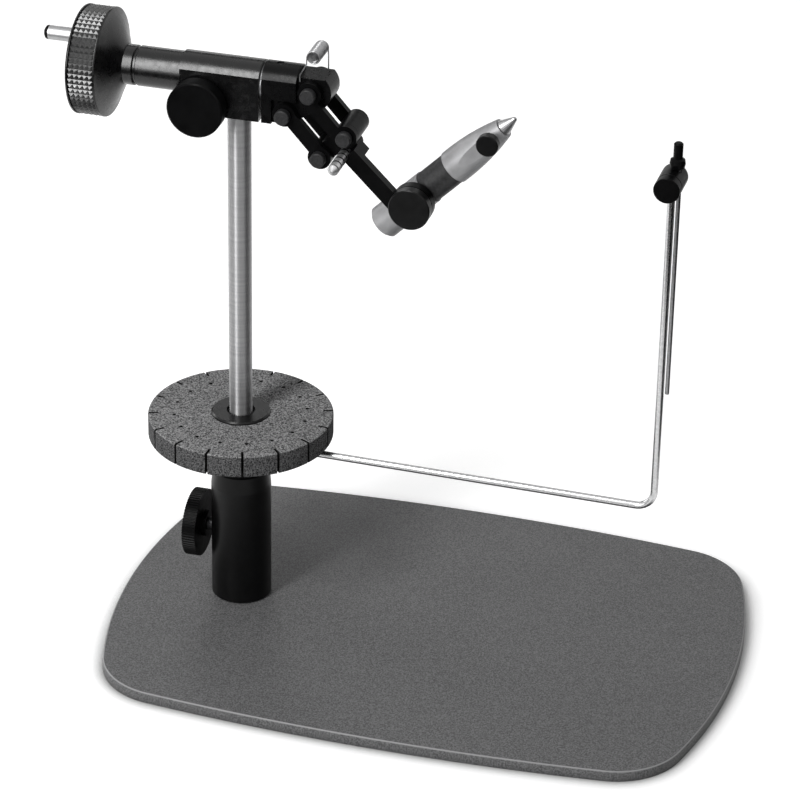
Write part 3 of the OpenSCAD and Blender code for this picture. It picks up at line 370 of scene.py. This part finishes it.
edge_in = foam_r - foam_round
foam_profile = ([(hub_r, foam_low)]
                + rounded(edge_in, foam_low + foam_round, foam_round, -math.pi / 2)
                + rounded(edge_in, foam_high - foam_round, foam_round, 0)
                + [(hub_r, foam_high), (hub_r, foam_low)])
disc = as_object(turned_shape(foam_profile, foam_steps), "foam_slab", foam)
cuts = bmesh.new()
step = 2 * math.pi / foam_cuts
for i in range(foam_cuts):
    slit = (Matrix.Rotation((i + slit_phase) * step, 4, "Z")
            @ Matrix.Translation((foam_r, 0, slit_mid))
            @ Matrix.Diagonal((2 * slit_deep, slit_wide, slit_high, 1)))
    bmesh.ops.create_cube(cuts, size=1, matrix=slit)
    prick = Matrix.Rotation(i * step, 4, "Z") @ Matrix.Translation((prick_ring, 0, foam_high))
    bmesh.ops.create_cone(cuts, cap_ends=True, segments=prick_sides, radius1=prick_r,
                          radius2=prick_r, depth=2 * prick_deep, matrix=prick)
cut(disc, as_object(cuts, "foam_cuts", foam_pit_shade))
disc.data.shade_smooth()
disc.data.set_sharp_from_angle(angle=crease)
disc.data.materials.append(foam_side_shade)
# Faces that don't face up take the darker copy: painted shade on the sides.
top_slot, shaded_side_slot = 0, 2
for face in disc.data.polygons:
    if face.material_index == top_slot and face.normal.z < 0.5:
        face.material_index = shaded_side_slot
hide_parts("foam_disc")
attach(disc, "tool_disc")
hub_black = black_finish("hub_black", 0.3, 0.25)
dress(hub_black, "foam_hub")

# Bobbin cradle: a bent steel rod in a collar on the post, with a clamp block,
# its knob and a thin wire that lifts the rest pin.
polished_rod = steel_finish("polished_rod", (0.56, 0.56, 0.565), 0.2, depth=polish_relief)
drawn_wire = steel_finish("drawn_wire", (0.3, 0.3, 0.305), 0.3, turned_along=2)
dress(satin_black, "arm_collar", "rest_clamp", "rest_knob", "rest_pin")
dress(polished_rod, "cradle_rod")
dress(drawn_wire, "extension_wire")

# Head housing: an aluminium body with a round top, anodised black, with the
# drag knob on its side.
housing_black = black_finish("housing_black", 0.25, 0.42)
dress(housing_black, "housing")
dress(satin_black, "drag_knob")
dress(turned_y, "drag_screw")

# Rotor: a steel shaft with a washer in front, a washer and a black collar behind,
# and the black block that carries the linkage. Both washers sit in grooves and are
# darkened there as painted shade: the front one a dark steel, the rear one black.
block_black = black_finish("block_black", 0.28, 0.12)
# Dark steel for the front washer: steel darkened as painted shade in its groove.
washer_shade_steel = steel_finish("washer_shade_steel", (0.22, 0.22, 0.225), 0.4, turned_along=0)
dress(turned_x, "shaft")
dress(washer_shade_steel, "front_washer")
# The rear washer takes the black finish as painted shade in its groove.
dress(housing_black, "wheel_collar", "rear_washer")
dress(block_black, "rotor_block")

# Crank wheel: turned in black, with a knurl of small pyramids round its band,
# a plain lip on both sides of it, and a cone towards the barrel.
axis_z, wheel_r, wheel_x, band_end = 252.5 * mm, 23.1 * mm, -68.3 * mm, -55.5 * mm
cone_end, cone_r, lip, knurl_deep = -48.9 * mm, 8.5 * mm, 0.85 * mm, 0.85 * mm
soft, bevel, cone_edge, knurl_wall = 0.5 * mm, 0.15 * mm, 0.8 * mm, 0.1 * mm
dish_r, dish_rim_r, dish_x = 8.4 * mm, 9 * mm, wheel_x + 3 * mm
knurl_rows, knurl_columns, pyramid_share, wheel_steps = 62, 5, 0.74, 160
knurl_r = wheel_r - knurl_deep
knurl_start, knurl_end = wheel_x + lip + knurl_wall, band_end - lip - knurl_wall
wheel_black = black_finish("wheel_black", 0.28, 0.35)
wheel_profile = [
    (0, dish_x), (dish_r, dish_x), (dish_rim_r, wheel_x), (wheel_r - soft, wheel_x),
    (wheel_r - bevel, wheel_x + bevel), (wheel_r, wheel_x + soft), (wheel_r, wheel_x + lip),
    (knurl_r, knurl_start), (knurl_r, knurl_end), (wheel_r, band_end - lip),
    (wheel_r, band_end - soft), (wheel_r - bevel, band_end - bevel), (wheel_r - soft, band_end),
    (wheel_r - cone_edge, band_end), (cone_r + cone_edge, cone_end - cone_edge),
    (cone_r, cone_end), (0, cone_end)]
wheel = as_object(turned_shape(wheel_profile, wheel_steps, "X", (0, 0, axis_z)),
                  "turned_wheel", wheel_black, sharp=0.5)


def knurl_tree():
    """Rows of small four-sided pyramids that stand round a band."""
    tree = bpy.data.node_groups.new("pyramid_knurl", "GeometryNodeTree")
    face = tree.interface
    face.new_socket("Geometry", in_out="OUTPUT", socket_type="NodeSocketGeometry")
    for name, kind in (("Rows", "Int"), ("Columns", "Int"), ("Radius", "Float"), ("Start", "Float"),
                       ("Pitch", "Float"), ("Depth", "Float"), ("Axis height", "Float"),
                       ("Finish", "Material")):
        face.new_socket(name, in_out="INPUT", socket_type="NodeSocket" + kind)
    add, link = tree.nodes.new, tree.links.new
    sizes = add("NodeGroupInput").outputs

    number = add("GeometryNodeInputIndex").outputs[0]
    column = worked(tree, "MODULO", number, sizes["Columns"])
    row = worked(tree, "FLOOR", worked(tree, "DIVIDE", number, sizes["Columns"]), 0)
    angle = worked(tree, "DIVIDE", worked(tree, "MULTIPLY", row, 2 * math.pi), sizes["Rows"])
    across = worked(tree, "MULTIPLY", worked(tree, "ADD", column, 0.5), sizes["Pitch"])
    out = worked(tree, "MULTIPLY", sizes["Radius"], worked(tree, "SINE", angle, 0))
    rise = worked(tree, "MULTIPLY", sizes["Radius"], worked(tree, "COSINE", angle, 0))
    spot = add("ShaderNodeCombineXYZ")
    link(worked(tree, "ADD", sizes["Start"], across), spot.inputs["X"])
    link(out, spot.inputs["Y"])
    link(worked(tree, "ADD", rise, sizes["Axis height"]), spot.inputs["Z"])
    line = add("GeometryNodeMeshLine")
    link(worked(tree, "MULTIPLY", sizes["Rows"], sizes["Columns"]), line.inputs["Count"])
    placed = add("GeometryNodeSetPosition")
    link(line.outputs["Mesh"], placed.inputs["Geometry"])
    link(spot.outputs["Vector"], placed.inputs["Position"])
    pyramid = add("GeometryNodeMeshCone")
    pyramid.fill_type = "NONE"
    pyramid.inputs["Vertices"].default_value = 4
    pyramid.inputs["Radius Top"].default_value = 0
    link(worked(tree, "MULTIPLY", sizes["Pitch"], pyramid_share), pyramid.inputs["Radius Bottom"])
    link(sizes["Depth"], pyramid.inputs["Depth"])
    squared = add("GeometryNodeTransform")
    squared.inputs["Rotation"].default_value = (0, 0, math.pi / 4)
    link(pyramid.outputs["Mesh"], squared.inputs["Geometry"])
    lean = add("ShaderNodeCombineXYZ")
    link(worked(tree, "MULTIPLY", angle, -1), lean.inputs["X"])
    stand = add("GeometryNodeInstanceOnPoints")
    link(placed.outputs["Geometry"], stand.inputs["Points"])
    link(squared.outputs["Geometry"], stand.inputs["Instance"])
    link(lean.outputs["Vector"], stand.inputs["Rotation"])
    real = add("GeometryNodeRealizeInstances")
    link(stand.outputs["Instances"], real.inputs["Geometry"])
    coat = add("GeometryNodeSetMaterial")
    link(real.outputs["Geometry"], coat.inputs["Geometry"])
    link(sizes["Finish"], coat.inputs["Material"])
    link(coat.outputs["Geometry"], add("NodeGroupOutput").inputs["Geometry"])
    return tree


def grown(name, tree, sizes):
    """The plain mesh that a tree makes with these sizes."""
    piece = bpy.data.objects.new(name, bpy.data.meshes.new(name))
    bpy.context.scene.collection.objects.link(piece)
    maker = piece.modifiers.new("maker", "NODES")
    maker.node_group = tree
    for item in tree.interface.items_tree:
        if item.in_out == "INPUT" and item.name in sizes:
            maker[item.identifier] = sizes[item.name]
    made_plain(piece, maker)
    return piece


knurl_black = black_finish("knurl_black", 0.33, 1.0)
knurl = grown("wheel_knurl", knurl_tree(), {
    "Rows": knurl_rows, "Columns": knurl_columns, "Radius": knurl_r, "Start": knurl_start,
    "Pitch": (knurl_end - knurl_start) / knurl_columns, "Depth": knurl_deep,
    "Axis height": axis_z, "Finish": knurl_black})
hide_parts("crank_wheel")
for piece in (wheel, knurl):
    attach(piece, "rotor")

# Crank pin: a black core with a rounded tip, and a loose steel sleeve on it.
dress(satin_black, "crank_pin")
sleeve_steel = steel_finish("sleeve_steel", (0.4, 0.4, 0.405), 0.4, turned_along=0)
dress(sleeve_steel, "crank_sleeve")

# Linkage: two pairs of black plates on headed pins, held by steel spring clips.
# The pins are a duller and slightly lighter black than the plates.
pin_black, tree, shader, place = new_finish("pin_black", (0.012, 0.012, 0.013), 0.5, gloss=0.3)
tint(tree, shader, grain(tree, place, 0.7 * mm, 4), (0.004, 0.004, 0.0043), (0.02, 0.02, 0.021))
bump(tree, shader, grain(tree, place, 0.4 * mm), 0.05 * mm, 0.6)
dress(satin_black, "upper_link_front", "upper_link_rear", "lower_link_front", "lower_link_rear")
dress(pin_black, "rotor_link_pins", "arm_link_pins")
dress(turned_y, "rotor_pin_clips", "arm_pin_clips")

# Jaw arm: a slim black bar with the lock screw at its root and the pivot knob
# at its eye. The lock screw is bright steel with grooves round it, painted dark
# in them as shade.
bright_screw = steel_finish("bright_screw", (0.6, 0.6, 0.605), 0.45, turned_along=1)
knob_black = black_finish("knob_black", 0.34, 0.2, turned_along=1)
dress(satin_black, "jaw_arm")
dress(bright_screw, "pivot_stud")
groove_start, groove_pitch, shaded_groove_wide = -25.5 * mm, 4 * mm, 1 * mm
grooved_screw = steel_finish("grooved_screw", (0.66, 0.66, 0.665), 0.4, turned_along=1)
tree = grooved_screw.node_tree
shader = tree.nodes["Principled BSDF"]
reach = along(tree, tree.nodes["Texture Coordinate"].outputs["Object"], "Y")
phase = worked(tree, "FLOORED_MODULO", worked(tree, "SUBTRACT", reach, groove_start), groove_pitch)
# Dark bands painted where the grooves are: painted shade in them.
lay_over(tree, shader, worked(tree, "LESS_THAN", phase, shaded_groove_wide), (0.03, 0.03, 0.032))
dress(grooved_screw, "lock_screw")
dress(knob_black, "pivot_knob", "front_knob")

# Jaw: a matt silver tube and nose with a black grip sleeve between them, and two
# halves of polished steel that grip the hook.
matt_silver, tree, shader, place = new_finish("matt_silver", (0.3, 0.3, 0.305), 0.5, metal=0.5)
tint(tree, shader, grain(tree, place, 5 * mm), (0.23, 0.23, 0.235), (0.29, 0.29, 0.295))
bump(tree, shader, grain(tree, place, 0.2 * mm, 3), 0.012 * mm, 0.5)
sleeve_black, tree, shader, place = new_finish("sleeve_black", (0.014, 0.014, 0.015), 0.5,
                                               gloss=0.4)
tint(tree, shader, grain(tree, place, 1.6 * mm, 4), (0.004, 0.004, 0.0043), (0.02, 0.02, 0.021))
bump(tree, shader, grain(tree, place, 0.6 * mm, 3), 0.06 * mm, 0.6)
hard_steel = steel_finish("hard_steel", (0.42, 0.42, 0.425), 0.3, depth=polish_relief)
dress(matt_silver, "jaw_tube", "nose")
dress(sleeve_black, "grip_sleeve")
dress(hard_steel, "upper_jaw", "lower_jaw", "push_rod")
dress(blackened, "push_button")
dress(drawn_wire, "return_spring")

# Material clip: a close coil of spring wire that stands on two legs over the
# rotor block and holds materials out of the way.
clip_x, clip_z, clip_r, clip_wire = 33.8 * mm, axis_z + 15.9 * mm, 2.7 * mm, 0.29 * mm
clip_pitch, clip_turns, turn_steps = 0.61 * mm, 20.5, 24
spring_wire = steel_finish("spring_wire", (0.36, 0.36, 0.365), 0.3, depth=polish_relief)


def tube_shape(points, radius, sides=12):
    """A closed round tube through the points."""
    shape = bmesh.new()
    loops = []
    up = Vector((0, 1, 0))
    for i, point in enumerate(points):
        way = (points[min(i + 1, len(points) - 1)] - points[max(i - 1, 0)]).normalized()
        side = way.cross(up).normalized()
        over = way.cross(side)
        ring = []
        for k in range(sides):
            angle = 2 * math.pi * k / sides
            ring.append(shape.verts.new(
                point + radius * (math.cos(angle) * side + math.sin(angle) * over)))
        loops.append(ring)
    for low, high in zip(loops, loops[1:]):
        for k in range(sides):
            shape.faces.new((low[k], low[(k + 1) % sides], high[(k + 1) % sides], high[k]))
    shape.faces.new(loops[0])
    shape.faces.new(list(reversed(loops[-1])))
    return shape


def at(x, y, rise):
    """A place in millimetres, its height counted from the rotary axis."""
    return Vector((x * mm, y * mm, axis_z + rise * mm))


curls = []
for i in range(int(turn_steps * clip_turns) + 1):
    turns = i / turn_steps
    angle = math.pi - 2 * math.pi * turns
    curls.append(Vector((clip_x + clip_r * math.cos(angle), clip_pitch * (turns - clip_turns / 2),
                         clip_z + clip_r * math.sin(angle))))
front_leg = [at(28.3, -6.33, 4.65), at(28.3, -6.6, 4.75), at(28.3, -6.75, 5), at(28.4, -6.75, 8),
             at(31.05, -6.7, 12.9)]
rear_leg = [at(36.5, 6.2, 14.5), at(36.7, 5.9, 12.9), at(36.9, 5.3, 9.5), at(36.9, 5.3, 6.5)]
clip = as_object(tube_shape(front_leg + curls + rear_leg, clip_wire), "coiled_clip", spring_wire,
                 sharp=1.2)
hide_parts("material_clip")
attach(clip, "rotor")

# Bench: a pale floor that reads as white to the camera and in reflections. It
# darkens close to the plate, where the plate keeps the light off it.
bench_colour, bench_half, shadow_reach, shadow_depth = (0.8, 0.8, 0.8), 6, 14 * mm, 2.2
seen_lift = 0.54
bench, tree, shader = new_finish("pale_floor", bench_colour, 0.9, gloss=0.1)[:3]
near = tree.nodes.new("ShaderNodeAmbientOcclusion")
near.samples = 5
near.inputs["Distance"].default_value = shadow_reach
open_share = worked(tree, "POWER", near.outputs["AO"], shadow_depth)
pale = tree.nodes.new("ShaderNodeVectorMath")
pale.operation = "SCALE"
pale.inputs[0].default_value = bench_colour
tree.links.new(open_share, pale.inputs["Scale"])
tree.links.new(pale.outputs[0], shader.inputs["Base Color"])


def seen_rays(tree):
    """1 on the rays that the camera sees by, straight or through a reflection, else 0."""
    rays = tree.nodes.new("ShaderNodeLightPath").outputs
    total = rays["Is Camera Ray"]
    for name in ("Is Glossy Ray", "Is Transmission Ray"):
        total = worked(tree, "ADD", total, rays[name], clamp=True)
    return total


lift = worked(tree, "MULTIPLY", seen_rays(tree), seen_lift)
glow = tree.nodes.new("ShaderNodeEmission")
tree.links.new(worked(tree, "MULTIPLY", lift, open_share), glow.inputs["Strength"])
both = tree.nodes.new("ShaderNodeAddShader")
tree.links.new(shader.outputs["BSDF"], both.inputs[0])
tree.links.new(glow.outputs["Emission"], both.inputs[1])
tree.links.new(both.outputs["Shader"], tree.nodes["Material Output"].inputs["Surface"])
ground = bmesh.new()
bmesh.ops.create_grid(ground, x_segments=1, y_segments=1, size=bench_half)
floor = as_object(ground, "floor", bench)

# Light: a tall narrow softbox in front on the left, a small lamp low on the left,
# weak ones from the right and from behind, and an even white surround. Dark
# cards outside the picture give black flats and steel their dark reflections.
surround_light = 0.25


def lamp(name, spot, aim, size, watts):
    """A rectangular lamp at one place that shines at another."""
    light = bpy.data.lights.new(name, "AREA")
    light.shape = "RECTANGLE"
    light.size, light.size_y = size
    light.energy = watts
    holder = bpy.data.objects.new(name, light)
    bpy.context.scene.collection.objects.link(holder)
    holder.location = spot
    holder.rotation_euler = (Vector(aim) - Vector(spot)).to_track_quat("-Z", "Y").to_euler()


lamp("key_lamp", (-0.45, -1.0, 0.98), (0.03, 0, 0.2), (0.28, 1.5), 22.5)
lamp("left_lamp", (-1.3, 0.45, 0.45), (-0.05, 0, 0.2), (0.4, 0.7), 4)
lamp("fill_lamp", (1.3, -0.6, 0.9), (0.05, 0, 0.15), (0.5, 0.9), 1.2)
lamp("back_lamp", (-0.55, 1.15, 0.8), (0.0, -0.05, 0.0), (0.45, 0.45), 1.2)
dark_card = new_finish("dark_card", (0.02, 0.02, 0.02), 0.9, gloss=0.0)[0]
for name, spot, sides, lean in (
        ("front_card", (0.15, -0.95, 0.002), (2.4, 1.2), (0, 0, 0)),
        ("right_card", (0.85, 0.2, 0.002), (1.0, 1.1), (0, 0, 0)),
        ("right_screen", (1.35, 0.1, 0.7), (1.6, 1.4), (math.pi / 2, 0, math.pi / 2)),
        ("left_screen", (-0.95, 1.0, 0.7), (0.8, 1.4), (math.pi / 2, 0, math.pi / 4)),
        ("back_screen", (-0.22, 0.95, 0.82), (0.55, 0.42), (math.pi / 2, 0, 0))):
    sheet = bmesh.new()
    placed = Matrix.LocRotScale(Vector(spot), Euler(lean), Vector((*sides, 1)))
    bmesh.ops.create_grid(sheet, x_segments=1, y_segments=1, size=0.5, matrix=placed)
    card = as_object(sheet, name, dark_card)
    card.visible_camera = card.visible_diffuse = card.visible_shadow = False
world = bpy.data.worlds.new("surround")
bpy.context.scene.world = world
world.use_nodes = True
tree = world.node_tree
sky = tree.nodes["Background"]
sky.inputs["Color"].default_value = (1, 1, 1, 1)
level = tree.nodes.new("ShaderNodeMapRange")
level.inputs["To Min"].default_value = surround_light
level.inputs["To Max"].default_value = 1
tree.links.new(seen_rays(tree), level.inputs["Value"])
tree.links.new(level.outputs["Result"], sky.inputs["Strength"])

# Camera: at the photograph's place, with a long lens. Its axes are worked out
# from the plate's corners, the foam disc's ellipse and the upright parts.
camera = bpy.data.objects.new("camera", bpy.data.cameras.new("camera"))
bpy.context.scene.collection.objects.link(camera)
right = Vector((0.96298611, 0.26903666, 0.01664395))
up = Vector((-0.14264493, 0.45624232, 0.87834809))
back = Vector((0.22871416, -0.84821119, 0.47773173))
turn = Matrix((right, up, back)).transposed().to_4x4()
camera_place = (0.424341, -1.308672, 0.849576)
camera.matrix_world = Matrix.Translation(camera_place) @ turn
camera.data.lens = 162.366
camera.data.sensor_width = 36
camera.data.clip_end = 50
bpy.context.scene.camera = camera
bpy.context.scene.view_settings.view_transform = "Standard"
